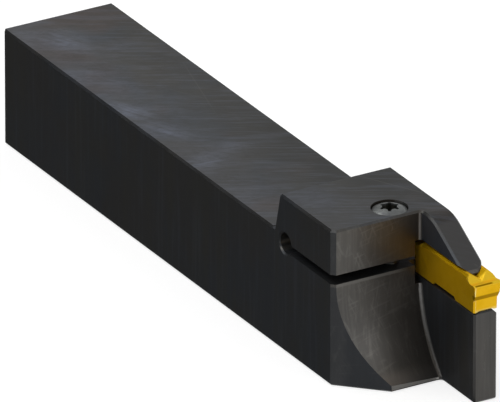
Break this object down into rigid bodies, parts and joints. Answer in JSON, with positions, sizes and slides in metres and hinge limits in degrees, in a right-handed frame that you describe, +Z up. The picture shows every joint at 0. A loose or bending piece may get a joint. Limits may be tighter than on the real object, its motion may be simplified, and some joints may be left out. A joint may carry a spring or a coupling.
{
  "type": "grooving tool holder",
  "caption": "Square-shank grooving tool holder: slotted head whose upper jaw clamps a double-ended insert on a blade under a finger, drawn down by a domed screw.",
  "frame": {"origin": "on the underside of the shank, on its centre line, halfway between the shank's back end and the cutting edge", "axes": "+X along the shank towards the cutting edge, +Y towards the side that carries the blade and the insert, +Z up"},
  "size_m": [0.15, 0.0255, 0.0334],
  "materials": {
    "blackened_steel": "blackened and oiled, ground faces, milled scoop",
    "screw_steel": "bright, fine turned",
    "coated_carbide": "gold hard coating on cemented carbide"
  },
  "bodies": {
    "holder": {"holder_body": "blackened_steel"},
    "screw": {"clamp_screw": "screw_steel"},
    "insert": {"grooving_insert": "coated_carbide"}
  },
  "joints": [
    {"name": "clamp_screw_turn", "type": "hinge", "parent": "holder", "child": "screw", "pos_m": [0.05, 0.00265, 0.03], "axis": [0, 0, 1], "range_deg": [0, 540]},
    {"name": "insert_slide", "type": "slide", "parent": "holder", "child": "insert", "axis": [1, 0, 0], "range_m": [0, 0.026]}
  ]
}
